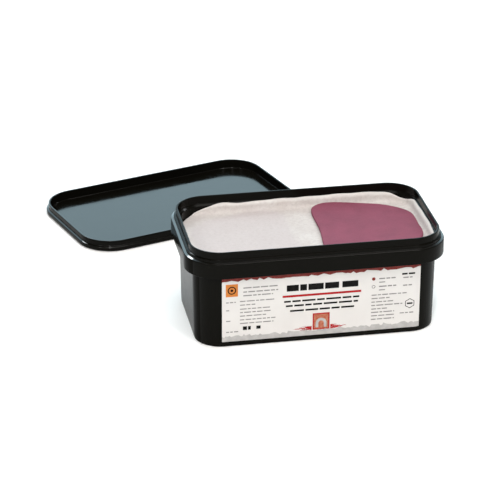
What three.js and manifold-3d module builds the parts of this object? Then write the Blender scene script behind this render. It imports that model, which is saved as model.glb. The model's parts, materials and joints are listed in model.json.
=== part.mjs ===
// Opened tub of preformed tray plates, with its lid lying beside it.
//
// Frame: millimetres, +Z up. The origin is the middle of the tub's underside,
// on the surface the tub stands on. +X runs along the tub's long side to the
// right, +Y away from the labelled front wall.

import * as THREE from 'three';
import Module from 'manifold-3d';

const wasm = await Module();
wasm.setup();

// ---- driving dimensions ----------------------------------------------------

const LIP_LENGTH = 200.0;      // mouth lip, outside, along X
const LIP_WIDTH = 113.9;       // mouth lip, outside, along Y
const LIP_RADIUS = 24.8;       // mouth lip, outside corner radius
const TUB_HEIGHT = 82.7;       // underside to lip
const TUB_FLOOR = 2.0;         // floor thickness

const SHELF_Z = 76.4;          // inner shelf just below the lip
const COLLAR_BOTTOM = 62.0;    // lower edge of the down-turned collar
const WALL = 1.9;              // wall thickness

const GAP = 0.33;              // between loose pieces that lie on each other

const PLATE_THICKNESS = 2.5;
const SHEET_THICKNESS = 0.5;
const LAYERS = 19;             // interleaf sheets, each with a pair of plates on it
const STACK_BOTTOM = TUB_FLOOR + GAP;
const PITCH = PLATE_THICKNESS + SHEET_THICKNESS + 2 * GAP;

const LID_HEIGHT = 9.2;        // lying upside down, rim up
const LID_PANEL = 0.9;
const LID_CENTRE = [-75.1, 223.2];
const LID_YAW = 17.5;          // degrees about +Z

const LABEL_LEFT = -77.4;      // ends of the label, along X
const LABEL_RIGHT = 81.0;
const LABEL_BOTTOM = 4.4;
const LABEL_TOP = 60.0;
const LABEL_THICKNESS = 0.2;

// ---- materials -------------------------------------------------------------

const mat = (color, roughness, metalness = 0) =>
  new THREE.MeshStandardMaterial({ color, roughness, metalness });
const blackPlastic = () => mat(0x1d1c1a, 0.28);
const plateResin = () => mat(0xba8496, 0.55);
const interleaf = () => mat(0xece6e2, 0.9);
const labelPaper = () => mat(0xeeeeee, 0.5);

// ---- helpers ---------------------------------------------------------------

const root = new THREE.Group();

// Points of a rounded rectangle, counter-clockwise seen from above. The long
// and short straight runs carry extra stations so a rim can vary along them.
function roundedRect(length, width, radius, z, corner = 7, longRun = 1, shortRun = 1) {
  const pts = [];
  const cx = length / 2 - radius, cy = width / 2 - radius;
  const corners = [[cx, cy, 0], [-cx, cy, 90], [-cx, -cy, 180], [cx, -cy, 270]];
  for (let k = 0; k < 4; k++) {
    const [x, y, a0] = corners[k];
    for (let i = 0; i <= corner; i++) {
      const a = THREE.MathUtils.degToRad(a0 + (90 * i) / corner);
      pts.push([x + radius * Math.cos(a), y + radius * Math.sin(a), z]);
    }
    const run = k % 2 === 0 ? longRun : shortRun;
    const p = pts[pts.length - 1];
    const [nx, ny, na] = corners[(k + 1) % 4];
    const b = THREE.MathUtils.degToRad(na);
    const q = [nx + radius * Math.cos(b), ny + radius * Math.sin(b)];
    for (let i = 1; i < run; i++) {
      pts.push([p[0] + ((q[0] - p[0]) * i) / run, p[1] + ((q[1] - p[1]) * i) / run, z]);
    }
  }
  return pts;
}

// A ring that stands `offset` outside the mouth lip's outline, at height z.
const lipRing = (offset, z, ...stations) =>
  roundedRect(LIP_LENGTH + 2 * offset, LIP_WIDTH + 2 * offset, LIP_RADIUS + offset, z, ...stations);

// Closed solid through successive rings of equal length, with a flat fan on
// the first and last ring. Faces are turned outwards whichever way it is built.
function ringSolid(rings) {
  const n = rings[0].length;
  const v = [];
  for (const r of rings) for (const p of r) v.push(...p);
  const mid = (r) => {
    const c = [0, 0, 0];
    for (const p of r) for (let k = 0; k < 3; k++) c[k] += p[k] / n;
    return c;
  };
  const first = v.length / 3;
  v.push(...mid(rings[0]));
  const last = v.length / 3;
  v.push(...mid(rings[rings.length - 1]));
  const t = [];
  for (let k = 0; k + 1 < rings.length; k++) {
    for (let i = 0; i < n; i++) {
      const j = (i + 1) % n;
      const a = k * n + i, b = k * n + j, c = (k + 1) * n + j, d = (k + 1) * n + i;
      t.push([a, b, c], [a, c, d]);
    }
  }
  const top = (rings.length - 1) * n;
  for (let i = 0; i < n; i++) {
    const j = (i + 1) % n;
    t.push([first, j, i], [last, top + i, top + j]);
  }
  return indexed(v, t);
}

function indexed(v, t) {
  let vol = 0;
  const P = (i) => [v[3 * i], v[3 * i + 1], v[3 * i + 2]];
  for (const [a, b, c] of t) {
    const [p, q, r] = [P(a), P(b), P(c)];
    vol += p[0] * (q[1] * r[2] - q[2] * r[1]) - p[1] * (q[0] * r[2] - q[2] * r[0]) + p[2] * (q[0] * r[1] - q[1] * r[0]);
  }
  const g = new THREE.BufferGeometry();
  g.setAttribute('position', new THREE.Float32BufferAttribute(v, 3));
  g.setIndex(t.map((f) => (vol < 0 ? [f[0], f[2], f[1]] : f)).flat());
  g.computeVertexNormals();
  return g;
}

function toManifold(g) {
  return new wasm.Manifold(new wasm.Mesh({
    numProp: 3,
    vertProperties: Float32Array.from(g.getAttribute('position').array),
    triVerts: Uint32Array.from(g.getIndex().array),
  }));
}

function fromManifold(m) {
  const mesh = m.getMesh();
  const g = new THREE.BufferGeometry();
  const pos = [];
  for (let i = 0; i < mesh.vertProperties.length; i += mesh.numProp) {
    pos.push(mesh.vertProperties[i], mesh.vertProperties[i + 1], mesh.vertProperties[i + 2]);
  }
  g.setAttribute('position', new THREE.Float32BufferAttribute(pos, 3));
  g.setIndex(Array.from(mesh.triVerts));
  g.computeVertexNormals();
  return g;
}

function place(name, geometry, material, parent = root) {
  const m = new THREE.Mesh(geometry, material);
  m.name = name;
  parent.add(m);
  return m;
}

// ---- tub -------------------------------------------------------------------
// The outer solid and the hollow are two ring solids; the hollow is cut out.

const wallOut = (z) => -2.6 - 0.95 * (COLLAR_BOTTOM - z) / (COLLAR_BOTTOM - 1.5); // outer wall, offset from the lip
const wallIn = (z) => wallOut(z) - WALL;                                         // inner wall

const tubOuter = [
  [wallOut(0) - 2.0, 0],
  [wallOut(0) - 0.6, 0.5],
  [wallOut(2), 2.0],
  [wallOut(40), 40],
  [wallOut(73.4), 73.4],
  [2.3, 73.4],               // under the ledge, inside the collar
  [2.45, COLLAR_BOTTOM],
  [4.0, COLLAR_BOTTOM],      // collar's lower edge
  [3.9, 73.2],
  [3.2, 74.3],               // collar's top edge
  [1.9, 74.9],
  [1.5, 75.1],               // snap bead
  [1.6, 76.6],
  [1.0, 77.3],
  [0.05, 77.6],
  [0.0, 81.9],               // mouth lip
  [-0.4, TUB_HEIGHT],
  [-1.4, TUB_HEIGHT],
].map(([o, z]) => lipRing(o, z, 7));

const tubHollow = [
  [wallIn(4) - 0.9, TUB_FLOOR],
  [wallIn(4) - 0.3, TUB_FLOOR + 0.3],
  [wallIn(5), TUB_FLOOR + 1.6],
  [wallIn(40), 40],
  [wallIn(SHELF_Z - 1.4), SHELF_Z - 1.4],
  [-2.6, SHELF_Z - 0.3],
  [-1.95, SHELF_Z],          // inner shelf
  [-1.8, TUB_HEIGHT - 0.5],
  [-1.4, TUB_HEIGHT],
].map(([o, z]) => lipRing(o, z, 7));

// One skin: up the outside, over the lip and down the inside.
place('tub_shell', ringSolid([...tubOuter, ...tubHollow.slice(0, -1).reverse()]), blackPlastic());

// ---- label on the long front wall, its ends just round the corners ---------

function frontLabel() {
  const stations = [];
  const halfRun = LIP_LENGTH / 2 - LIP_RADIUS;              // end of the straight wall
  const yRun = -(LIP_WIDTH / 2 - LIP_RADIUS);               // corner centres
  const outer = (z) => LIP_RADIUS + wallOut(z);
  const turn = (x) => Math.asin((Math.abs(x) - halfRun) / outer(LABEL_TOP));
  const left = turn(LABEL_LEFT), right = turn(LABEL_RIGHT);
  for (let i = 0; i < 2; i++) stations.push([-1, left * (1 - i / 2)]);
  for (let i = 0; i <= 4; i++) stations.push([0, -halfRun + (2 * halfRun * i) / 4]);
  for (let i = 1; i <= 3; i++) stations.push([1, (right * i) / 3]);
  const at = ([side, s], z, out) => {
    const r = outer(z) + out;
    if (side === 0) return [s, yRun - r, z];
    return [side * (halfRun + r * Math.sin(s)), yRun - r * Math.cos(s), z];
  };
  const rings = stations.map((s) => [
    at(s, LABEL_BOTTOM, GAP), at(s, LABEL_BOTTOM, GAP + LABEL_THICKNESS),
    at(s, LABEL_TOP, GAP + LABEL_THICKNESS), at(s, LABEL_TOP, GAP),
  ]);
  return ringSolid(rings);
}
place('front_label', frontLabel(), labelPaper());

// ---- tray plates and interleaf sheets --------------------------------------
// Outline of a right-hand plate: straight wide edge towards the tub's middle,
// narrowing with rounded corners towards the end wall. Left ones are mirrored.

const PLATE_OUTLINE = [
  [10.9, 0], [11.2, 34.5], [13.0, 42.0], [17.5, 47.2], [24.0, 50.2], [30.0, 50.6],
  [42.0, 48.4], [59.5, 43.2], [71.8, 38.6], [80.6, 31.6], [87.4, 24.8], [91.0, 18.0],
  [92.3, 9.0], [92.3, -6.0], [91.3, -17.0], [87.2, -28.0], [79.6, -36.6], [69.5, -42.2],
  [50.0, -47.6], [34.0, -50.0], [23.5, -50.6], [14.5, -48.6], [9.3, -43.6], [7.8, -36.0],
];

function plate(z, side) {
  const shape = new THREE.Shape(PLATE_OUTLINE.map(([x, y]) => new THREE.Vector2(side * x, y)));
  const g = new THREE.ExtrudeGeometry(shape, { depth: PLATE_THICKNESS, bevelEnabled: false, steps: 1 });
  g.translate(0, 0, z);
  return g;
}

// Flat sheet across the whole tub.
function flatSheet(z) {
  const o = wallIn(4) - 1.2;
  return ringSolid([lipRing(o, z, 5), lipRing(o, z + SHEET_THICKNESS, 5)]);
}

// The top sheet: the same sheet with its edges turned up at the walls. How far
// they stand up varies: most along the back and the right end, least at the
// corners.
function turnedSheet(z) {
  const o = wallIn(70) - 0.36;
  const t = SHEET_THICKNESS;
  const halfL = LIP_LENGTH / 2 + o, halfW = LIP_WIDTH / 2 + o, r = LIP_RADIUS + o;
  const hump = (s) => Math.pow(Math.max(0, Math.cos((Math.PI / 2) * Math.min(1, Math.abs(s)))), 0.6);
  const rise = (x, y) => {
    let h = 1.3;
    if (y > halfW - 0.01) h += 5.9 * hump(x / (halfL - r + 8));
    if (y < -halfW + 0.01) h += 4.0 * hump(x / (halfL - r + 8));
    if (x > halfL - 0.01) h += 5.9 * hump(y / (halfW - r + 8));
    if (x < -halfL + 0.01) h += 1.2 * hump(y / (halfW - r + 8));
    return h;
  };
  const base = lipRing(o, z, 5, 8, 5);
  const ring = (inset, fz) => lipRing(o - inset, 0, 5, 8, 5).map(([x, y], i) => [x, y, fz(rise(base[i][0], base[i][1]))]);
  return ringSolid([
    ring(3.5, () => z),
    ring(0.9, () => z),
    ring(0, (h) => z + 0.35 * h),
    ring(0, (h) => z + h),
    ring(t, (h) => z + h),
    ring(t, (h) => z + t + 0.35 * h),
    ring(1.3, () => z + t),
    ring(3.5, () => z + t),
  ]);
}

// Layer 1 is the top one. Its left plate has been used.
for (let n = 1; n <= LAYERS; n++) {
  const id = String(n).padStart(2, '0');
  const z = STACK_BOTTOM + (LAYERS - n) * PITCH;
  place(`interleaf_${id}`, n === 1 ? turnedSheet(z) : flatSheet(z), interleaf());
  const zp = z + SHEET_THICKNESS + GAP;
  if (n > 1) place(`plate_left_${id}`, plate(zp, -1), plateResin());
  place(`plate_right_${id}`, plate(zp, 1), plateResin());
}

// ---- lid, lying upside down, inside up --------------------------------------

const lidRings = [
  [4.0, 0], [5.1, 0.7], [5.4, 1.5], [5.4, 3.6], [4.9, 4.2], [3.5, 4.6],   // border that overhangs the collar
  [3.3, 7.6], [3.55, 8.1], [3.5, 8.8], [3.1, LID_HEIGHT], [2.5, LID_HEIGHT], [2.05, 8.7], // rolled free edge
  [1.95, 8.0], [1.95, 2.2], [1.6, 1.3], [0.8, LID_PANEL],
].map(([o, z]) => lipRing(o, z, 7));
const lid = place('lid_shell', ringSolid(lidRings), blackPlastic());
lid.position.set(LID_CENTRE[0], LID_CENTRE[1], 0);
lid.rotation.z = THREE.MathUtils.degToRad(LID_YAW);

export default root;
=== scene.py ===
"""Looks of the opened tub of tray plates: tub, lid, plates, interleaf sheets and label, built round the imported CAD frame."""
import bpy, bmesh, json, math, random
from mathutils import Vector, Matrix


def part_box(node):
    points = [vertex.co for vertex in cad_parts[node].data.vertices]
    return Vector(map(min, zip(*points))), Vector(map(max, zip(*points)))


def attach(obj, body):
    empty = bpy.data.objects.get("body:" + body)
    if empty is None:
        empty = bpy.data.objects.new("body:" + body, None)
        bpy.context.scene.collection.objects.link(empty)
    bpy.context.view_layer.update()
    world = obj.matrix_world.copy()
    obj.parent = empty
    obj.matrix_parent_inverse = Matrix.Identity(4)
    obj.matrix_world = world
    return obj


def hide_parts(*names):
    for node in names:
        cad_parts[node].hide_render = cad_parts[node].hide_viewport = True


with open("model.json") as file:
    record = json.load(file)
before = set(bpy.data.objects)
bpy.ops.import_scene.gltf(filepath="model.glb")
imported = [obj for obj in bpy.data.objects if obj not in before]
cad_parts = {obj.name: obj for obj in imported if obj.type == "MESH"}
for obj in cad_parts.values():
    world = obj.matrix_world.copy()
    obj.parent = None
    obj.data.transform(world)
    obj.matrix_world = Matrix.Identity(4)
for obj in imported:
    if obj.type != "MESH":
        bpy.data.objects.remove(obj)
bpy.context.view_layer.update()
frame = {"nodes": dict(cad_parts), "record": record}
random.seed(7)
MM = 0.001
scene = bpy.context.scene

# ------------------------------------------------------------------ places from the frame
tub_lo, tub_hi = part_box("tub_shell")
lid_lo, lid_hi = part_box("lid_shell")
HEIGHT = tub_hi.z / MM                      # 82.7
COLLAR_OUT = 4.0
LIP_L = (tub_hi.x - tub_lo.x) / MM - 2 * COLLAR_OUT
LIP_W = (tub_hi.y - tub_lo.y) / MM - 2 * COLLAR_OUT
LIP_R = 24.8
COLLAR_Z = 62.0
SHELF_Z = 76.4
WALL = 1.9
FLOOR_T = 2.0
LID_YAW = math.radians(17.5)
LID_C = ((lid_lo.x + lid_hi.x) / 2, (lid_lo.y + lid_hi.y) / 2)


# ------------------------------------------------------------------ node helpers
class Mat:
    """Small helper round one procedural material."""

    def __init__(self, name):
        self.m = bpy.data.materials.new(name)
        self.m.use_nodes = True
        self.t = self.m.node_tree
        self.b = self.t.nodes["Principled BSDF"]
        self.obj = self.t.nodes.new("ShaderNodeTexCoord").outputs["Object"]

    def node(self, kind, **props):
        n = self.t.nodes.new(kind)
        for k, v in props.items():
            if k in n.inputs.keys():
                n.inputs[k].default_value = v
            else:
                setattr(n, k, v)
        return n

    def link(self, a, b):
        self.t.links.new(a, b)

    def noise(self, scale, detail=4.0, rough=0.55, stretch=None, distortion=0.0):
        n = self.node("ShaderNodeTexNoise")
        n.inputs["Scale"].default_value = scale
        n.inputs["Detail"].default_value = detail
        n.inputs["Roughness"].default_value = rough
        n.inputs["Distortion"].default_value = distortion
        src = self.obj
        if stretch:
            mp = self.node("ShaderNodeMapping")
            mp.inputs["Scale"].default_value = stretch
            self.link(self.obj, mp.inputs["Vector"])
            src = mp.outputs["Vector"]
        self.link(src, n.inputs["Vector"])
        return n.outputs["Fac"]

    def ramp(self, fac, stops):
        r = self.node("ShaderNodeValToRGB")
        e = r.color_ramp.elements
        while len(e) < len(stops):
            e.new(0.5)
        for k, (p, c) in enumerate(stops):
            e[k].position = p
            e[k].color = (*c, 1.0) if len(c) == 3 else c
        self.link(fac, r.inputs["Fac"])
        return r.outputs["Color"]

    def scale(self, fac, lo, hi, a=0.0, b=1.0):
        r = self.node("ShaderNodeMapRange")
        r.inputs["From Min"].default_value = a
        r.inputs["From Max"].default_value = b
        r.inputs["To Min"].default_value = lo
        r.inputs["To Max"].default_value = hi
        self.link(fac, r.inputs["Value"])
        return r.outputs["Result"]

    def mix(self, fac, a, b, blend="MIX"):
        m = self.node("ShaderNodeMix", data_type="RGBA", blend_type=blend)
        for sock, v in ((m.inputs[0], fac), (m.inputs[6], a), (m.inputs[7], b)):
            if isinstance(v, (int, float)):
                sock.default_value = v
            elif isinstance(v, tuple):
                sock.default_value = (*v, 1.0) if len(v) == 3 else v
            else:
                self.link(v, sock)
        return m.outputs[2]

    def math(self, op, a, b=None):
        m = self.node("ShaderNodeMath", operation=op)
        for sock, v in zip(m.inputs, (a, b)):
            if v is None:
                continue
            if isinstance(v, (int, float)):
                sock.default_value = v
            else:
                self.link(v, sock)
        return m.outputs[0]

    def bump(self, height, strength, distance, normal=None):
        b = self.node("ShaderNodeBump")
        b.inputs["Strength"].default_value = strength
        b.inputs["Distance"].default_value = distance
        self.link(height, b.inputs["Height"])
        if normal is not None:
            self.link(normal, b.inputs["Normal"])
        return b.outputs["Normal"]

    def set(self, **kw):
        for k, v in kw.items():
            s = self.b.inputs[k.replace("_", " ")]
            if isinstance(v, (int, float)):
                s.default_value = v
            elif isinstance(v, tuple):
                s.default_value = (*v, 1.0) if len(v) == 3 and s.type == "RGBA" else v
            else:
                self.link(v, s)
        return self


def black_plastic(name, rough_lo, rough_hi, fine, spec=0.42):
    """Moulded black polypropylene: faint flow clouding, fine moulded grain, a few rub marks."""
    m = Mat(name)
    cloud = m.noise(16.0, 5.0, 0.6)
    rub = m.noise(95.0, 6.0, 0.7, stretch=(1.0, 1.0, 4.0))
    speck = m.noise(1900.0, 2.0, 0.5)
    tint = m.mix(cloud, (0.0024, 0.0022, 0.0015), (0.0048, 0.0044, 0.0032))
    dust = m.scale(speck, 0.0, 1.0, 0.70, 0.78)
    tint = m.mix(m.math("MULTIPLY", dust, 0.27), tint, (0.011, 0.0104, 0.009))
    r = m.scale(cloud, rough_lo, rough_hi, 0.3, 0.7)
    r = m.math("ADD", r, m.scale(rub, -0.02, 0.05, 0.35, 0.75))
    n = m.bump(m.noise(1400.0, 3.0, 0.6), fine, 0.00006)
    n = m.bump(m.noise(38.0, 2.0, 0.5), 0.10, 0.0006, n)
    m.set(Base_Color=tint, Roughness=r, Normal=n, IOR=1.47)
    m.b.inputs["Specular IOR Level"].default_value = spec
    return m.m


TUB_BLACK = black_plastic("tub_black", 0.10, 0.16, 0.09, spec=0.052)
TUB_END = black_plastic("tub_black_ends", 0.12, 0.18, 0.10, spec=0.014)
TUB_GLOSS = black_plastic("tub_black_polished", 0.08, 0.12, 0.04, spec=0.55)
TUB_INSIDE = black_plastic("tub_black_inside", 0.13, 0.20, 0.10, spec=0.078)
LID_BLACK = black_plastic("lid_black", 0.09, 0.14, 0.07, spec=0.27)


def resin(name="plate_resin"):
    """Uncured tray resin sheet: rose, faintly mottled, soft satin with a fine pressed grain."""
    m = Mat(name)
    mottle = m.noise(55.0, 4.0, 0.6)
    grain = m.noise(900.0, 3.0, 0.65)
    fleck = m.noise(2600.0, 2.0, 0.5)
    c = m.mix(m.scale(mottle, 0.0, 1.0, 0.34, 0.68), (0.190, 0.045, 0.074), (0.236, 0.063, 0.099))
    c = m.mix(m.scale(grain, 0.0, 0.30, 0.40, 0.75), c, (0.287, 0.095, 0.137))
    c = m.mix(m.scale(fleck, 0.0, 0.45, 0.66, 0.80), c, (0.152, 0.031, 0.050))
    # painted shade: a little deeper in colour where the side turns down, away from the light from above
    geo = m.node("ShaderNodeNewGeometry")
    sep = m.node("ShaderNodeSeparateXYZ")
    m.link(geo.outputs["Normal"], sep.inputs[0])
    side = m.scale(m.math("ABSOLUTE", sep.outputs["Z"]), 1.0, 0.0, 0.0, 0.9)
    c = m.mix(m.math("MULTIPLY", side, 0.45), c, (0.135, 0.023, 0.045))
    n = m.bump(grain, 0.22, 0.00018)
    n = m.bump(mottle, 0.22, 0.0007, n)
    m.set(Base_Color=c, Roughness=m.scale(mottle, 0.55, 0.68, 0.3, 0.7), Normal=n)
    m.b.inputs["Specular IOR Level"].default_value = 0.10
    m.b.inputs["Subsurface Weight"].default_value = 0.12
    m.b.inputs["Subsurface Scale"].default_value = 0.002
    m.b.inputs["Subsurface Radius"].default_value = (1.0, 0.45, 0.5)
    return m.m


RESIN = resin()


def interleaf(name="interleaf_white"):
    """Thin white non-woven sheet: fibrous, matte, with painted show-through, a little darker and rosier, where a plate
    lies right under it, and a painted highlight along its turned-up edge.
    """
    m = Mat(name)
    at = m.node("ShaderNodeAttribute", attribute_name="over_plate")
    edge = m.node("ShaderNodeAttribute", attribute_name="lit_edge")
    cloud = m.noise(46.0, 5.0, 0.62)
    blot = m.noise(330.0, 3.0, 0.6)
    fibre_a = m.noise(620.0, 5.0, 0.7, stretch=(1.0, 7.0, 1.0), distortion=0.8)
    fibre_b = m.noise(620.0, 5.0, 0.7, stretch=(7.0, 1.0, 1.0), distortion=0.8)
    fibre = m.math("MAXIMUM", fibre_a, fibre_b)
    c = m.mix(m.scale(cloud, 0.0, 1.0, 0.35, 0.66), (0.498, 0.446, 0.421), (0.596, 0.561, 0.534))
    # painted show-through: darker, rosier colour where a plate lies under the sheet, in place of light passing through
    # it
    c = m.mix(m.math("MULTIPLY", at.outputs["Fac"], 0.80), c, (0.486, 0.428, 0.425))
    c = m.mix(m.scale(blot, 0.0, 0.80, 0.44, 0.72), c, (0.446, 0.392, 0.378))
    c = m.mix(m.scale(fibre, 0.0, 0.58, 0.50, 0.76), c, (0.674, 0.644, 0.622))
    # painted highlight: the turned-up outer edge of the sheet made lighter, as if catching the light
    c = m.mix(m.math("MULTIPLY", edge.outputs["Fac"], 0.65), c, (0.80, 0.765, 0.735))
    n = m.bump(fibre, 0.35, 0.00022)
    n = m.bump(blot, 0.25, 0.0004, n)
    n = m.bump(cloud, 0.25, 0.0010, n)
    m.set(Base_Color=c, Roughness=0.88, Normal=n)
    m.b.inputs["Specular IOR Level"].default_value = 0.25
    m.b.inputs["Sheen Weight"].default_value = 0.25
    m.b.inputs["Sheen Roughness"].default_value = 0.5
    return m.m


INTERLEAF = interleaf()


def ink(name, a, b, rough=0.42, scale=220.0, spec=0.14):
    m = Mat(name)
    n = m.noise(scale, 4.0, 0.6)
    f = m.noise(1500.0, 2.0, 0.5)
    c = m.mix(m.scale(n, 0.0, 1.0, 0.35, 0.7), a, b)
    m.set(Base_Color=c, Roughness=m.scale(f, rough - 0.05, rough + 0.08, 0.3, 0.7), Normal=m.bump(f, 0.10, 0.00004))
    m.b.inputs["Specular IOR Level"].default_value = spec
    return m.m


PAPER = ink("label_paper", (0.632, 0.608, 0.590), (0.662, 0.638, 0.618), 0.40, 60.0)
INK_BLACK = ink("ink_black", (0.005, 0.005, 0.005), (0.012, 0.0115, 0.011), spec=0.03)
INK_GREY = ink("ink_grey", (0.20, 0.19, 0.185), (0.27, 0.26, 0.255))
INK_RED = ink("ink_red", (0.155, 0.018, 0.015), (0.228, 0.037, 0.030), scale=260.0)
INK_LINE = ink("ink_line_red", (0.330, 0.013, 0.017), (0.390, 0.024, 0.026), spec=0.06)
INK_ORANGE = ink("ink_orange", (0.520, 0.165, 0.032), (0.580, 0.205, 0.045))
INK_BRICK = ink("ink_brick", (0.330, 0.075, 0.040), (0.470, 0.180, 0.110), scale=700.0)
INK_BAND = ink("ink_band_grey", (0.370, 0.358, 0.348), (0.470, 0.458, 0.445), scale=200.0)


# ------------------------------------------------------------------ mesh helpers
def new_obj(name, verts, faces, mat, smooth=True, angle=38.0):
    me = bpy.data.meshes.new(name)
    me.from_pydata([Vector(v) * MM for v in verts], [], faces)
    bm = bmesh.new()
    bm.from_mesh(me)
    bmesh.ops.recalc_face_normals(bm, faces=bm.faces)
    bm.to_mesh(me)
    bm.free()
    me.materials.append(mat)
    o = bpy.data.objects.new(name, me)
    scene.collection.objects.link(o)
    if smooth:
        shade(me, angle)
    return o


def shade(me, angle=38.0):
    """Smooth shading with sharp edges where faces meet at more than the angle."""
    for p in me.polygons:
        p.use_smooth = True
    bm = bmesh.new()
    bm.from_mesh(me)
    lim = math.radians(angle)
    for e in bm.edges:
        e.smooth = not (len(e.link_faces) == 2 and e.calc_face_angle(0.0) > lim)
    bm.to_mesh(me)
    bm.free()


def rrect(length, width, radius, z, corner=24, longs=24, shorts=12):
    pts = []
    cx, cy = length / 2 - radius, width / 2 - radius
    corners = [(cx, cy, 0), (-cx, cy, 90), (-cx, -cy, 180), (cx, -cy, 270)]
    for k, (x, y, a0) in enumerate(corners):
        for i in range(corner + 1):
            a = math.radians(a0 + 90 * i / corner)
            pts.append((x + radius * math.cos(a), y + radius * math.sin(a), z))
        run = longs if k % 2 == 0 else shorts
        p = pts[-1]
        nx, ny, na = corners[(k + 1) % 4]
        q = (nx + radius * math.cos(math.radians(na)), ny + radius * math.sin(math.radians(na)))
        for i in range(1, run):
            pts.append((p[0] + (q[0] - p[0]) * i / run, p[1] + (q[1] - p[1]) * i / run, z))
    return pts


def lip_ring(off, z, **kw):
    return rrect(LIP_L + 2 * off, LIP_W + 2 * off, LIP_R + off, z, **kw)


def fillet(profile, radii, steps=4):
    """Rounds the corners of an open (offset, z) profile. radii gives a radius per point, 0 keeps it sharp."""
    out = []
    n = len(profile)
    for i, p in enumerate(profile):
        r = radii[i] if i < len(radii) else 0
        if i in (0, n - 1) or not r:
            out.append(tuple(p))
            continue
        a, b, c = Vector(profile[i - 1]), Vector(p), Vector(profile[i + 1])
        u, v = (a - b), (c - b)
        lu, lv = u.length, v.length
        u.normalize(), v.normalize()
        ang = u.angle(v)
        if ang > math.pi - 0.02:
            out.append(tuple(p))
            continue
        d = min(r / math.tan(ang / 2), lu * 0.48, lv * 0.48)
        s, e = b + u * d, b + v * d
        for k in range(steps + 1):
            t = k / steps
            q = s * (1 - t) ** 2 + b * 2 * t * (1 - t) + e * t ** 2
            out.append((q.x, q.y))
    return out


def sweep(rings, cap0=True, cap1=True):
    n = len(rings[0])
    verts = [p for r in rings for p in r]
    faces = []
    for k in range(len(rings) - 1):
        for i in range(n):
            j = (i + 1) % n
            faces.append((k * n + i, k * n + j, (k + 1) * n + j, (k + 1) * n + i))
    if cap0:
        faces.append(tuple(reversed(range(n))))
    if cap1:
        faces.append(tuple((len(rings) - 1) * n + i for i in range(n)))
    return verts, faces


# ------------------------------------------------------------------ tub
def wall_out(z):
    return -2.6 - 0.95 * (COLLAR_Z - z) / (COLLAR_Z - 1.5)


def wall_in(z):
    return wall_out(z) - WALL


def make_tub():
    prof = [
        (-12.0, 0.9), (-9.5, 0.9), (-9.0, 0.0), (wall_out(0) - 0.2, 0.0), (wall_out(3), 3.0), (wall_out(40), 40.0),
        (wall_out(73.4), 73.4), (2.3, 73.4), (2.45, COLLAR_Z), (4.0, COLLAR_Z), (3.9, 74.25), (1.55, 75.0),
        (1.6, 76.9), (0.0, 77.5), (0.0, HEIGHT), (-1.8, HEIGHT), (-1.9, SHELF_Z), (-2.7, SHELF_Z - 0.2),
        (wall_in(SHELF_Z - 1.6), SHELF_Z - 1.6), (wall_in(40), 40.0), (wall_in(2.0), FLOOR_T), (-20.0, FLOOR_T),
    ]
    rad = [0, 0.4, 0.4, 1.1, 1.1, 0, 0.5, 0.6, 0.3, 0.4, 0.8, 0.25, 0.5, 0.25, 0.6, 0.6, 0.35, 0.3, 0.5, 0, 2.2, 0]
    prof = fillet(prof, rad, 5)
    v, f = sweep([lip_ring(o, z) for o, z in prof])
    o = new_obj("tub_moulding", v, f, TUB_BLACK, angle=50)
    o.data.materials.append(TUB_GLOSS)
    o.data.materials.append(TUB_INSIDE)
    o.data.materials.append(TUB_END)
    cx_, cy_ = (LIP_L / 2 - LIP_R) * MM, (LIP_W / 2 - LIP_R) * MM
    for p in o.data.polygons:
        c = p.center
        off = math.hypot(max(0.0, abs(c.x) - cx_), max(0.0, abs(c.y) - cy_)) / MM - LIP_R
        inside = c.z > 0.006 and off > -9.0 and off < (wall_out(c.z / MM) - 0.9 if c.z < 0.0748 else -1.5)
        if 0.0738 < c.z < 0.0762 and p.normal.z > 0.8 and off > 0:
            p.material_index = 1
        elif inside:
            p.material_index = 2
        elif abs(p.normal.x) > 0.82 and p.normal.x * c.x > 0 and c.z < 0.0742:
            p.material_index = 3
    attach(o, "tub")
    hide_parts("tub_shell")
    return o


tub = make_tub()


# ------------------------------------------------------------------ lid, upside down
def make_lid():
    prof = [
        (-20.0, 0.25), (-9.0, 0.25), (-8.0, 0.0), (4.3, 0.0), (5.4, 0.9), (5.4, 3.9), (3.35, 4.5), (3.15, 7.7), (3.5, 8.2), (3.5, 9.2),
        (2.05, 9.2), (1.95, 8.2), (1.95, 1.0), (-2.0, 0.9), (-20.0, 0.9),
    ]
    rad = [0, 0.4, 0.4, 0.9, 0.9, 0.9, 0.5, 0.3, 0.3, 0.65, 0.5, 0.3, 0.55, 0.3, 0]
    prof = fillet(prof, rad, 5)
    v, f = sweep([lip_ring(o, z) for o, z in prof])
    c, s = math.cos(LID_YAW), math.sin(LID_YAW)
    v = [(x * c - y * s + LID_C[0] / MM, x * s + y * c + LID_C[1] / MM, z) for x, y, z in v]
    o = new_obj("lid_moulding", v, f, TUB_BLACK, angle=50)
    o.data.materials.append(LID_BLACK)
    for p in o.data.polygons:
        if p.normal.z > 0.22 and p.center.z > 0.0006:
            p.material_index = 1
    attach(o, "lid")
    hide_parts("lid_shell")
    return o


lid = make_lid()


# ------------------------------------------------------------------ plates
PLATE_OUTLINE = [
    (10.9, 0), (11.2, 34.5), (13.0, 42.0), (17.5, 47.2), (24.0, 50.2), (30.0, 50.6),
    (42.0, 48.4), (59.5, 43.2), (71.8, 38.6), (81.2, 32.0), (87.8, 25.0), (90.9, 18.2),
    (91.6, 9.0), (91.2, -5.0), (91.4, -15.5), (88.9, -27.0), (80.6, -36.6), (69.5, -42.4),
    (50.0, -47.6), (34.0, -50.0), (23.5, -50.6), (14.5, -48.6), (9.3, -43.6), (7.8, -36.0),
]


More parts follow.
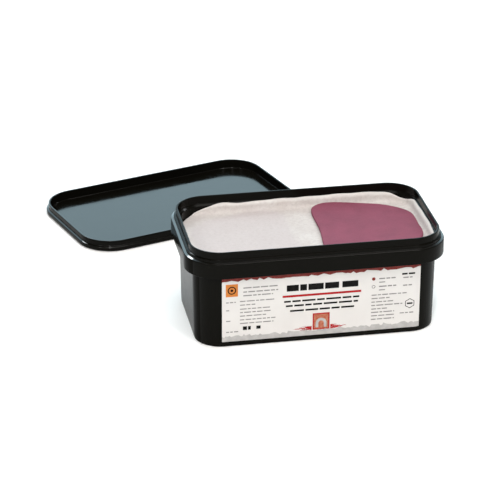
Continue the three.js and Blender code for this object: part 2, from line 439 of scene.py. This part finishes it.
def smooth_loop(pts, per=6):
    """Catmull-Rom through a closed outline (centripetal, so long straights stay straight)."""
    out = []
    n = len(pts)
    P = [Vector(p) for p in pts]
    for i in range(n):
        p0, p1, p2, p3 = P[i - 1], P[i], P[(i + 1) % n], P[(i + 2) % n]
        t0 = 0.0
        t1 = t0 + (p1 - p0).length ** 0.5
        t2 = t1 + (p2 - p1).length ** 0.5
        t3 = t2 + (p3 - p2).length ** 0.5
        for k in range(per):
            t = t1 + (t2 - t1) * k / per
            a1 = p0 * ((t1 - t) / (t1 - t0)) + p1 * ((t - t0) / (t1 - t0))
            a2 = p1 * ((t2 - t) / (t2 - t1)) + p2 * ((t - t1) / (t2 - t1))
            a3 = p2 * ((t3 - t) / (t3 - t2)) + p3 * ((t - t2) / (t3 - t2))
            b1 = a1 * ((t2 - t) / (t2 - t0)) + a2 * ((t - t0) / (t2 - t0))
            b2 = a2 * ((t3 - t) / (t3 - t1)) + a3 * ((t - t1) / (t3 - t1))
            q = b1 * ((t2 - t) / (t2 - t1)) + b2 * ((t - t1) / (t2 - t1))
            out.append((q.x, q.y))
    return out


OUTLINE = smooth_loop(PLATE_OUTLINE, 5)
PLATE_T = 2.5


def inset_loop(loop, d):
    n = len(loop)
    out = []
    for i in range(n):
        a, b, c = Vector(loop[i - 1]), Vector(loop[i]), Vector(loop[(i + 1) % n])
        t = (c - a).normalized()
        nrm = Vector((-t.y, t.x))
        out.append(b + nrm * d)
    area = sum(loop[i - 1][0] * loop[i][1] - loop[i][0] * loop[i - 1][1] for i in range(n))
    if area < 0:
        out = [Vector(loop[i]) * 2 - out[i] for i in range(n)]
    return [(p.x, p.y) for p in out]


def plate_mesh(name, side, seed, relief=0.10):
    """A pressed plate: rounded rim, faint waviness."""
    rnd = random.Random(seed)
    ph = [rnd.uniform(0, 6.28) for _ in range(6)]
    cx, cy = 50.0, 0.0

    def wob(x, y):
        return relief * (math.sin(x * 0.061 + ph[0]) * math.sin(y * 0.055 + ph[1]) + 0.5 * math.sin(x * 0.13 + y * 0.05 + ph[2]))

    prof = [(0.95, 0.0), (0.45, 0.08), (0.12, 0.35), (0.0, 0.8), (0.0, 1.7), (0.12, 2.15), (0.45, 2.42), (0.95, 2.5)]
    levels = [2.5, 6.0, 12.0]
    rings = []
    for d in reversed(levels):
        rings.append([(x, y, 0.0 + 0.0) for x, y in shrink(OUTLINE, d, cx, cy)])
    for d, z in prof:
        rings.append([(x, y, z) for x, y in inset_loop(OUTLINE, d)])
    for d in levels:
        rings.append([(x, y, 2.5) for x, y in shrink(OUTLINE, d, cx, cy)])
    # fill towards the middle with shrinking copies, so the waviness has points to act on
    for k in (0.72, 0.5, 0.28, 0.1):
        rings.append([(cx + (x - cx) * k, cy + (y - cy) * k, 2.5) for x, y in OUTLINE])
    for k in (0.1, 0.28, 0.5, 0.72)[::1]:
        pass
    low = []
    for k in (0.1, 0.28, 0.5, 0.72):
        low.append([(cx + (x - cx) * k, cy + (y - cy) * k, 0.0) for x, y in OUTLINE])
    rings = low + rings
    rings = [[(side * x, y, z + (wob(x, y) if z > 1.2 else 0.0) * min(1.0, z / 2.5) - (relief * 1.2 if z > 1.2 else 0)) for x, y, z in r] for r in rings]
    v, f = sweep(rings)
    me_obj = new_obj(name, v, f, RESIN, angle=60)
    return me_obj


def shrink(loop, d, cx, cy):
    """Inset by about d millimetres towards the centre."""
    out = []
    for x, y in loop:
        v = Vector((x - cx, y - cy))
        out.append((cx + v.x * (1 - d / v.length), cy + v.y * (1 - d / v.length)))
    return out


BODY_OF = {}
for b, ns in frame["record"]["behaviour"]["bodies"].items():
    for n in ns:
        BODY_OF[n] = b

shared = {}
plates = {}
for node in sorted(n for n in frame["nodes"] if n.startswith("plate_")):
    _, side, num = node.split("_")
    s = 1 if side == "right" else -1
    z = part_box(node)[0].z
    variant = int(num) % 3
    key = (s, variant) if num != "01" else (s, "top")
    if key not in shared:
        o = plate_mesh("p_" + node, s, 11 * variant + (5 if s > 0 else 0), relief=0.10)
        shared[key] = o.data
    else:
        o = bpy.data.objects.new("p_" + node, shared[key])
        scene.collection.objects.link(o)
    o.location = (0, 0, z)
    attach(o, BODY_OF[node])
    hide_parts(node)
    plates[node] = o


# ------------------------------------------------------------------ interleaf sheets
def seg_dist(x, y, loop):
    """Signed distance to a closed outline, negative inside."""
    best = 1e9
    inside = False
    n = len(loop)
    for i in range(n):
        x1, y1 = loop[i - 1]
        x2, y2 = loop[i]
        dx, dy = x2 - x1, y2 - y1
        t = max(0.0, min(1.0, ((x - x1) * dx + (y - y1) * dy) / (dx * dx + dy * dy + 1e-12)))
        best = min(best, (x - x1 - dx * t) ** 2 + (y - y1 - dy * t) ** 2)
        if (y1 > y) != (y2 > y) and x < (x2 - x1) * (y - y1) / (y2 - y1 + 1e-12) + x1:
            inside = not inside
    return -math.sqrt(best) if inside else math.sqrt(best)


COARSE = [OUTLINE[i] for i in range(0, len(OUTLINE), 2)]


def smoothstep(a, b, x):
    t = max(0.0, min(1.0, (x - a) / (b - a)))
    return t * t * (3 - 2 * t)


def set_attr(me, name, values):
    a = me.attributes.new(name, "FLOAT", "POINT")
    a.data.foreach_set("value", values)


SHEET_T = 0.30
# height of the top sheet's free edge round the tub, (x, y, z) in millimetres, anticlockwise from the right end
TOP_EDGE = [
    (95.3, 0.0, 76.4), (95.3, 24.0, 76.4), (94.4, 37.0, 75.2), (91.2, 44.4, 72.5), (88.2, 47.4, 72.6), (84.6, 49.9, 73.9), (79.1, 51.8, 75.4),
    (72.4, 52.2, 76.4), (55.5, 52.2, 76.6), (22.1, 52.2, 76.5), (-11.2, 52.2, 76.1), (-27.8, 52.2, 76.0), (-44.4, 52.2, 75.5), (-60.9, 52.2, 76.2),
    (-69.1, 52.2, 75.2), (-73.2, 52.2, 73.4), (-77.4, 52.1, 71.6), (-81.7, 51.2, 70.6), (-86.1, 49.0, 68.7), (-88.9, 46.8, 67.8), (-92.4, 42.0, 67.0),
    (-95.0, 35.0, 68.6), (-95.3, 24.0, 70.9), (-95.3, 16.1, 70.6), (-95.3, 0.5, 71.2), (-95.3, -18.0, 71.6), (-94.6, -36.0, 70.2), (-90.0, -45.6, 69.3),
    (-80.0, -51.5, 70.4), (-60.0, -52.2, 72.2), (-25.0, -52.2, 73.2), (10.0, -52.2, 73.0), (45.0, -52.2, 72.8), (70.0, -52.2, 71.8), (85.0, -49.6, 70.4),
    (92.5, -41.8, 71.6), (95.0, -34.4, 75.4), (95.3, -22.0, 76.4),
]


def sheet_mesh(name, off, base_z, top, seed, full):
    """One interleaf sheet lying across the tub. top: its edges turn up at the walls and rest on the inner shelf, and
    the plate under it is painted in as show-through.
    """
    rnd = random.Random(seed)
    ph = [rnd.uniform(0, 6.28) for _ in range(8)]
    half_l, half_w, r = LIP_L / 2 + off, LIP_W / 2 + off, LIP_R + off
    st = dict(corner=18, longs=48, shorts=22) if full else dict(corner=8, longs=10, shorts=6)
    base = lip_ring(off, 0, **st)
    n = len(base)
    rise = [0.0] * n
    if top:
        keys = {}
        for x, y, z in TOP_EDGE:
            i = min(range(n), key=lambda q: (base[q][0] - x) ** 2 + (base[q][1] - y) ** 2)
            keys[i] = z - base_z
        ks = sorted(keys)
        for q, i in enumerate(ks):
            j = ks[(q + 1) % len(ks)]
            span_i = (j - i) % n or n
            for t in range(span_i):
                u = t / span_i
                rise[(i + t) % n] = keys[i] * (1 - u) + keys[j] * u
        for _ in range(3):
            rise = [(rise[i - 1] + 2 * rise[i] + rise[(i + 1) % n]) / 4 for i in range(n)]
        rise = [h + 0.16 * math.sin(i * 0.83 + ph[0]) + 0.12 * math.sin(i * 0.37 + ph[1]) for i, h in enumerate(rise)]
        levels = [(0.0, 1.0), (0.12, 0.82), (0.3, 0.60), (0.62, 0.38), (1.2, 0.19), (2.2, 0.08), (3.6, 0.02), (5.5, 0.0), (8.0, 0.0), (11.0, 0.0), (14.5, 0.0), (18.0, 0.0)]
    else:
        levels = [(0.0, 0.0), (1.0, 0.0), (4.0, 0.0), (10.0, 0.0)]
    rings = []
    for inset, share in levels:
        ring = []
        for i in range(n):
            z = rise[i] * share
            push = max(0.0, min(2.1, (base_z + z - 74.5) * 1.15)) if top else 0.0
            ring.append((push, z))
        plain = lip_ring(off - inset, 0, **st)
        wide = lip_ring(off - inset + 1.0, 0, **st)
        rings.append([(plain[i][0] + (wide[i][0] - plain[i][0]) * ring[i][0], plain[i][1] + (wide[i][1] - plain[i][1]) * ring[i][0], ring[i][1]) for i in range(n)])
    inner = rings[-1]
    span = half_l - half_w
    steps = 13 if full else 3
    for q in range(1, steps + 1):
        k = 1 - q / steps
        pulled = []
        for x, y, z in inner:
            ax = max(-span, min(span, x))
            pulled.append((ax + (x - ax) * k, y * k, 0.0))
        rings.append(pulled)
    out, over, near = [], [], []
    for ri, ring in enumerate(rings):
        for x, y, z in ring:
            sag = 0.0
            rip = (0.09 if top else 0.04) * (math.sin(x * 0.10 + ph[6]) * math.sin(y * 0.13 + ph[7]))
            if top:
                left = seg_dist(-x, y, COARSE)
                d = min(seg_dist(x, y, COARSE), left)
                edge_in = min(half_l - abs(x), half_w - abs(y))
                sag = -0.34 * smoothstep(-1.5, 5.0, d) * smoothstep(0.5, 4.0, edge_in)
                rip += 0.07 * math.sin(x * 0.31 + y * 0.12 + ph[2]) * math.sin(y * 0.27 - x * 0.09 + ph[3])
                # share of the painted show-through over the left plate
                over.append(smoothstep(3.0, -3.5, left))
            else:
                over.append(0.0)
            out.append((x, y, z + sag + rip))
            # share of the painted edge highlight: full on the outermost ring, half on the next
            near.append(1.0 if ri == 0 else (0.5 if ri == 1 else 0.0))
    faces = []
    for k in range(len(rings) - 1):
        for i in range(n):
            j = (i + 1) % n
            faces.append((k * n + i, k * n + j, (k + 1) * n + j, (k + 1) * n + i))
    me = bpy.data.meshes.new(name)
    me.from_pydata([Vector(p) * MM for p in out], [], faces)
    set_attr(me, "over_plate", over)
    set_attr(me, "lit_edge", near)
    bm = bmesh.new()
    bm.from_mesh(me)
    bmesh.ops.remove_doubles(bm, verts=bm.verts, dist=2e-6)
    bmesh.ops.dissolve_degenerate(bm, edges=bm.edges, dist=1e-6)
    bmesh.ops.recalc_face_normals(bm, faces=bm.faces)
    if sum(f.normal.z * f.calc_area() for f in bm.faces) < 0:
        bmesh.ops.reverse_faces(bm, faces=bm.faces)
    bm.to_mesh(me)
    bm.free()
    for p in me.polygons:
        p.use_smooth = True
    me.materials.append(INTERLEAF)
    o = bpy.data.objects.new(name, me)
    scene.collection.objects.link(o)
    thicken(o)
    return o


def thicken(o):
    sol = o.modifiers.new("cloth_thickness", "SOLIDIFY")
    sol.thickness = SHEET_T * MM
    sol.offset = -1.0


sheet_low = None
for node in sorted(n for n in frame["nodes"] if n.startswith("interleaf_")):
    lo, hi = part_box(node)
    num = node.split("_")[1]
    if num == "01":
        base_z = lo.z / MM + 0.45
        o = sheet_mesh("s_" + node, wall_in(70) - 0.64, base_z, True, 3, True)
    else:
        base_z = lo.z / MM + 0.42
        if sheet_low is None:
            o = sheet_mesh("s_" + node, wall_in(4) - 1.2, base_z, False, 5, False)
            sheet_low = o.data
        else:
            o = bpy.data.objects.new("s_" + node, sheet_low)
            scene.collection.objects.link(o)
            thicken(o)
    o.location = (0, 0, base_z * MM)
    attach(o, BODY_OF[node])
    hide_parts(node)


# ------------------------------------------------------------------ label
LBL_L, LBL_R, LBL_B, LBL_T = -77.4, 81.0, 4.4, 60.0
HALF_RUN = LIP_L / 2 - LIP_R
Y_RUN = -(LIP_W / 2 - LIP_R)


def on_wall(x, z, out):
    """A point on the front wall: x runs along the wall and round its corners, out is the distance off it."""
    r = LIP_R + wall_out(z) + out
    if abs(x) <= HALF_RUN:
        return (x, Y_RUN - r, z)
    s = 1 if x > 0 else -1
    a = (abs(x) - HALF_RUN) / (LIP_R + wall_out(z))
    return (s * (HALF_RUN + r * math.sin(a)), Y_RUN - r * math.cos(a), z)


def arc_x(x):
    """Distance along the wall for an x seen from the front."""
    if abs(x) <= HALF_RUN:
        return x
    s = 1 if x > 0 else -1
    r = LIP_R + wall_out(30)
    return s * (HALF_RUN + r * math.asin((abs(x) - HALF_RUN) / r))


def film(name, polys, mat, out, thick):
    """Thin closed films that follow the wall. polys: closed outlines in (x, z), split where they would leave the curve."""
    verts, faces = [], []
    for poly in polys:
        n = len(poly)
        base = len(verts)
        for x, z in poly:
            verts.append(on_wall(x, z, out))
        for x, z in poly:
            verts.append(on_wall(x, z, out + thick))
        faces.append(tuple(base + i for i in range(n)))
        faces.append(tuple(base + n + i for i in reversed(range(n))))
        for i in range(n):
            j = (i + 1) % n
            faces.append((base + i, base + n + i, base + n + j, base + j))
    o = new_obj(name, verts, faces, mat, smooth=False)
    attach(o, "tub")
    return o


def strip(x0, x1, z0, z1, n=1):
    """A rectangle, cut into pieces along x where it goes round the corner."""
    xs = [x0 + (x1 - x0) * i / n for i in range(n + 1)]
    cuts = sorted(set([x0, x1] + [c for c in (-HALF_RUN - 1.5, -HALF_RUN, HALF_RUN, HALF_RUN + 1, HALF_RUN + 2, HALF_RUN + 3, HALF_RUN + 4, HALF_RUN + 5) if x0 < c < x1] + xs))
    return [[(a, z0), (b, z0), (b, z1), (a, z1)] for a, b in zip(cuts, cuts[1:])]


LX0, LX1 = arc_x(LBL_L), arc_x(LBL_R)


def make_label():
    xs = [LX0, -HALF_RUN - 1.2] + [-HALF_RUN + 2 * HALF_RUN * i / 30 for i in range(31)] + [HALF_RUN + 1.5, HALF_RUN + 3, HALF_RUN + 4.5, LX1]
    zs = [LBL_B + (LBL_T - LBL_B) * i / 10 for i in range(11)]
    verts, faces = [], []
    for out in (0.03, 0.14):
        for x in xs:
            for z in zs:
                verts.append(on_wall(x, z, out))
    nx, nz = len(xs), len(zs)
    S = nx * nz
    for i in range(nx - 1):
        for k in range(nz - 1):
            a, b, c, d = i * nz + k, (i + 1) * nz + k, (i + 1) * nz + k + 1, i * nz + k + 1
            faces.append((a, d, c, b))
            faces.append((S + a, S + b, S + c, S + d))
    for i in range(nx - 1):
        for k in (0, nz - 1):
            a, b = i * nz + k, (i + 1) * nz + k
            faces.append((a, b, S + b, S + a) if k == 0 else (b, a, S + a, S + b))
    for k in range(nz - 1):
        for i in (0, nx - 1):
            a, b = i * nz + k, i * nz + k + 1
            faces.append((b, a, S + a, S + b) if i == 0 else (a, b, S + b, S + a))
    o = new_obj("label", verts, faces, PAPER, smooth=True, angle=30)
    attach(o, "tub")
    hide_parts("front_label")
    return o


label = make_label()
OUT, FT = 0.14, 0.03
R = random.Random(21)


def torn(z_edge, depth, step, seed):
    """A ragged edge height along the label."""
    rr = random.Random(seed)
    xs, zs = [LX0], [z_edge + rr.uniform(-depth, depth)]
    while xs[-1] < LX1:
        xs.append(min(LX1, xs[-1] + rr.uniform(step * 0.4, step * 1.6)))
        zs.append(z_edge + rr.uniform(-depth, depth) * (1.0 if rr.random() < 0.75 else 1.8))
    return xs, zs


def ragged(z_fixed, z_edge, depth, step, seed):
    xs, zs = torn(z_edge, depth, step, seed)
    polys = []
    for i in range(len(xs) - 1):
        curved = max(abs(xs[i]), abs(xs[i + 1])) > HALF_RUN
        parts = 4 if curved else 1
        for k in range(parts):
            u, w = k / parts, (k + 1) / parts
            xa, xb = xs[i] + (xs[i + 1] - xs[i]) * u, xs[i] + (xs[i + 1] - xs[i]) * w
            za, zb = zs[i] + (zs[i + 1] - zs[i]) * u, zs[i] + (zs[i + 1] - zs[i]) * w
            polys.append([(xa, z_fixed), (xb, z_fixed), (xb, zb), (xa, za)])
    return polys


film("print_band_top", ragged(LBL_T, LBL_T - 3.1, 0.85, 3.2, 4), INK_RED, OUT, FT)
film("print_band_bottom", ragged(LBL_B, LBL_B + 4.6, 0.9, 1.9, 9), INK_BAND, OUT, FT)


def bars(x0, x1, z, h, seed, fill=0.86, word=(2.2, 7.0), gap=0.9):
    """A line of greeked print: word-length bars, no letters."""
    rr = random.Random(seed)
    out, x = [], x0
    end = x0 + (x1 - x0) * fill
    while x < end - 0.8:
        w = min(rr.uniform(*word), end - x)
        if w > 0.6:
            out += strip(x, x + w, z - h / 2, z + h / 2)
        x += w + gap
    return out


# greeked print. Rows are placed at listed heights.
black, grey, red, orange = [], [], [], []
T = LBL_T


def row_block(x0, x1, z_top, rows, pitch, h, seed, last=0.55, **kw):
    out = []
    for r in range(rows):
        out += bars(x0, x1 if r < rows - 1 else x0 + (x1 - x0) * last, z_top - r * pitch, h, seed * 31 + r, 0.98, **kw)
    return out


# left column
orange += [[(-74.4, 43.4), (-64.8, 43.4), (-64.8, 54.2), (-74.4, 54.2)]]
for k, (z, end) in enumerate(((50.3, -33.5), (46.8, -33.0), (43.6, -37.0))):
    grey += bars(-60.6, end, z, 1.0, 20 + k, 1.0)
for k, (z, end) in enumerate(((38.8, -36.0), (35.6, -50.0), (32.1, -38.0), (29.1, -37.5), (26.0, -42.5), (22.7, -34.0), (19.6, -36.5))):
    grey += bars(-63.2, end, z, 0.9, 40 + k, 1.0)
for k, (z, end) in enumerate(((38.5, -66.5), (31.6, -70.8), (22.3, -70.8), (12.7, -63.0))):
    grey += bars(-74.2, end, z, 0.9, 60 + k, 1.0, word=(1.4, 3.6))
black += [[(-60.9, 13.6), (-57.6, 13.6), (-57.6, 16.8), (-60.9, 16.8)], [(-56.8, 13.6), (-54.6, 13.6), (-54.6, 16.8), (-56.8, 16.8)], [(-50.2, 13.8), (-46.8, 13.8), (-46.8, 16.6), (-50.2, 16.6)]]

# title: plain solid blocks of one height in place of a name
x = -26.2
for w in (9.6, 5.4, 12.2, 11.2, 0.0, 12.8):
    if w:
        black += strip(x, x + w, 44.2, 49.6)
        x += w + 1.1
    else:
        x += 1.5
red += strip(-29.5, 33.4, 39.0, 40.9)
for r_, (z, x0, x1) in enumerate(((35.4, -28.2, 32.4), (31.5, -26.8, 31.0), (27.0, -23.4, 28.2))):
    black += bars(x0, x1, z, 1.55, 200 + r_, 1.0, word=(5.0, 13.0), gap=1.2)

# right column
black += bars(66.0, 76.5, 51.9, 1.5, 301, 1.0, word=(3.0, 6.5))
for r_, z in enumerate((49.3, 42.5)):
    grey += bars(47.6, 62.0, z, 1.1, 310 + r_, 1.0)
    grey += bars(67.0, 74.5, z - 0.6, 1.1, 320 + r_, 1.0)
    grey += bars(47.6, 52.5, z - 3.1, 0.9, 330 + r_, 1.0)
for r_, (z, end) in enumerate(((35.2, 71.0), (32.2, 57.5), (29.1, 61.0), (26.1, 67.0), (23.0, 54.5), (20.0, 60.5), (17.0, 61.5), (13.9, 60.5))):
    grey += bars(41.8, end, z, 0.95, 340 + r_, 1.0)
grey += bars(65.0, 77.0, 17.6, 0.95, 360, 1.0, word=(1.8, 3.6))


def disc(cx, cz, r, n=24):
    return [(cx + r * math.cos(6.2832 * i / n), cz + r * math.sin(6.2832 * i / n)) for i in range(n)]


def ring_quads(cx, cz, r0, r1, n=24, a0=0.0, a1=6.28318):
    out = []
    for i in range(n):
        a, b = a0 + (a1 - a0) * i / n, a0 + (a1 - a0) * (i + 1) / n
        out.append([(cx + r0 * math.cos(a), cz + r0 * math.sin(a)), (cx + r1 * math.cos(a), cz + r1 * math.sin(a)),
                    (cx + r1 * math.cos(b), cz + r1 * math.sin(b)), (cx + r0 * math.cos(b), cz + r0 * math.sin(b))])
    return out


dots = [disc(43.2, 49.4, 1.45)]
black += ring_quads(43.2, 42.6, 1.05, 1.4)

# picture panel: framed square with a plain dental-arch shape
px0, px1, pz0, pz1 = -5.2, 8.4, 8.9, 23.4
frame_w = 1.0
film("print_panel", [[(px0, pz0), (px1, pz0), (px1, pz1), (px0, pz1)]], INK_LINE, OUT, FT)
film("print_panel_field", [[(px0 + frame_w, pz0 + frame_w), (px1 - frame_w, pz0 + frame_w), (px1 - frame_w, pz1 - frame_w), (px0 + frame_w, pz1 - frame_w)]], INK_BRICK, OUT + FT, FT)
pcx, pcz = (px0 + px1) / 2, (pz0 + pz1) / 2
arch = ring_quads(pcx, pcz - 1.6, 2.2, 4.4, 20, 0.0, math.pi)
arch += [[(pcx - 4.4, pcz - 5.2), (pcx - 2.2, pcz - 5.2), (pcx - 2.2, pcz - 1.6), (pcx - 4.4, pcz - 1.6)],
         [(pcx + 2.2, pcz - 5.2), (pcx + 4.4, pcz - 5.2), (pcx + 4.4, pcz - 1.6), (pcx + 2.2, pcz - 1.6)]]
film("print_panel_arch", arch, INK_BAND, OUT + 2 * FT, FT)

# ragged brush strokes either side of the panel's foot
for side, x0, length in ((-1, px0 - 0.7, 14.5), (1, px1 + 0.7, 12.5)):
    rr = random.Random(33 + side)
    for z, h, share in ((10.9, 1.8, 1.0), (9.7, 1.6, 0.66), (12.2, 1.1, 0.42)):
        x, end = x0, length * share
        run = 0.0
        while run < end:
            w = rr.uniform(0.9, 2.2)
            hh = h * (1 - run / end) ** 0.6
            z1, z2 = z + rr.uniform(-0.35, 0.35), z + rr.uniform(-0.35, 0.35)
            quad = [(x, z1 - hh / 2), (x + side * w, z2 - hh * 0.32), (x + side * w, z2 + hh * 0.32), (x, z1 + hh / 2)]
            red.append(quad if side > 0 else quad[::-1])
            x += side * w * 0.97
            run += w

# seal at the right: plain ring with a bar across
film("print_seal", ring_quads(72.9, 25.6, 3.7, 4.3, 6, math.pi / 6, math.pi * 2 + math.pi / 6) + [[(70.6, 24.9), (75.2, 24.9), (75.2, 26.3), (70.6, 26.3)]], INK_BLACK, OUT, FT)

# generic hand-care pictogram on the orange square: a plain ring round a dot
sq = (-69.6, 48.8)
film("print_mark", ring_quads(sq[0], sq[1], 2.5, 3.4, 28) + [disc(sq[0], sq[1], 1.1, 18)], INK_BLACK, OUT + FT, FT)

film("print_black", black, INK_BLACK, OUT, FT)
film("print_grey", grey, INK_GREY, OUT, FT)
film("print_red", red, INK_LINE, OUT, FT)
film("print_dots", dots, INK_RED, OUT, FT)
film("print_orange", orange, INK_ORANGE, OUT, FT)


# ------------------------------------------------------------------ floor, light, camera
def stage_floor():
    me = bpy.data.meshes.new("floor")
    s = 30.0
    me.from_pydata([(-s, -s, 0), (s, -s, 0), (s, s, 0), (-s, s, 0)], [], [(0, 1, 2, 3)])
    m = Mat("floor_white")
    n = m.noise(3.0, 3.0, 0.5)
    m.set(Base_Color=m.mix(n, (0.965, 0.96, 0.95), (0.98, 0.975, 0.965)), Roughness=0.95)
    m.b.inputs["Specular IOR Level"].default_value = 0.0
    m.b.inputs["Emission Color"].default_value = (1.0, 0.98, 0.95, 1.0)
    m.b.inputs["Emission Strength"].default_value = 0.07
    me.materials.append(m.m)
    o = bpy.data.objects.new("floor", me)
    scene.collection.objects.link(o)
    o.location.z = -0.0002


stage_floor()


def area(name, az, el, dist, size, power, color=(1, 1, 1), aim=(0, 0, 0.06)):
    """Area light seen from the tub at azimuth az (0 is towards -Y, 90 towards +X) and elevation el."""
    d = bpy.data.lights.new(name, "AREA")
    d.shape = "RECTANGLE"
    d.size, d.size_y = size
    d.energy = power
    d.color = color
    o = bpy.data.objects.new(name, d)
    a, e = math.radians(az), math.radians(el)
    aim = Vector(aim)
    o.location = aim + Vector((math.sin(a) * math.cos(e), -math.cos(a) * math.cos(e), math.sin(e))) * dist
    o.rotation_euler = (aim - o.location).to_track_quat("-Z", "Y").to_euler()
    scene.collection.objects.link(o)
    return o


area("top_soft", 20, 76, 2.6, (2.0, 1.6), 41.0, (1.0, 0.975, 0.945))
area("strip_left_a", -17, 38, 2.2, (0.08, 0.8), 18.0, (1.0, 0.99, 0.97))
area("strip_left_b", -56, 36, 2.2, (0.12, 0.8), 9.5, (1.0, 0.99, 0.97))
area("strip_right", 26, 34, 2.4, (0.24, 0.6), 11.0, (1.0, 0.99, 0.97))
area("back_left", -161, 40, 2.6, (0.4, 0.4), 11.0, (0.92, 0.97, 1.0))
area("back_right", 115, 36, 2.6, (0.3, 0.5), 8.0, (0.95, 0.98, 1.0))

world = bpy.data.worlds.new("studio")
scene.world = world
world.use_nodes = True
wt = world.node_tree
bg = wt.nodes["Background"]
tc = wt.nodes.new("ShaderNodeTexCoord")
sep = wt.nodes.new("ShaderNodeSeparateXYZ")
wt.links.new(tc.outputs["Generated"], sep.inputs[0])
ramp = wt.nodes.new("ShaderNodeValToRGB")
e = ramp.color_ramp.elements
e[0].position, e[0].color = 0.0, (0.34, 0.35, 0.36, 1)
e[1].position, e[1].color = 1.0, (0.50, 0.50, 0.50, 1)
for p, c in ((0.18, (0.30, 0.32, 0.33, 1)), (0.55, (0.30, 0.31, 0.32, 1)), (0.80, (0.44, 0.44, 0.44, 1))):
    x_ = e.new(p)
    x_.color = c
wt.links.new(sep.outputs["Z"], ramp.inputs["Fac"])
dot = wt.nodes.new("ShaderNodeVectorMath")
dot.operation = "DOT_PRODUCT"
wt.links.new(tc.outputs["Generated"], dot.inputs[0])
dot.inputs[1].default_value = Vector((0.10, 0.90, 0.42)).normalized()
lobe = wt.nodes.new("ShaderNodeMapRange")
lobe.interpolation_type = "SMOOTHSTEP"
lobe.inputs["From Min"].default_value = 0.80
lobe.inputs["From Max"].default_value = 0.95
wt.links.new(dot.outputs["Value"], lobe.inputs["Value"])
panel = wt.nodes.new("ShaderNodeMix")
panel.data_type = "RGBA"
wt.links.new(lobe.outputs["Result"], panel.inputs[0])
wt.links.new(ramp.outputs["Color"], panel.inputs[6])
panel.inputs[7].default_value = (3.7, 5.1, 5.7, 1)
wt.links.new(panel.outputs[2], bg.inputs["Color"])
bg.inputs["Strength"].default_value = 0.47

cam_data = bpy.data.cameras.new("camera")
cam = bpy.data.objects.new("camera", cam_data)
scene.collection.objects.link(cam)
F_PX, ELEV, YAW = 2330.96, 0.430058, 0.178437
cam_data.sensor_width = 36.0
cam_data.lens = F_PX / 500 * 36.0
cam_data.clip_start, cam_data.clip_end = 0.05, 60.0
cam.location = (-0.345146, -1.661267, 0.831424)
fwd = Vector((math.sin(YAW) * math.cos(ELEV), math.cos(YAW) * math.cos(ELEV), -math.sin(ELEV)))
cam.rotation_euler = fwd.to_track_quat("-Z", "Y").to_euler()
scene.camera = cam

scene.view_settings.view_transform = "Standard"
scene.view_settings.look = "None"
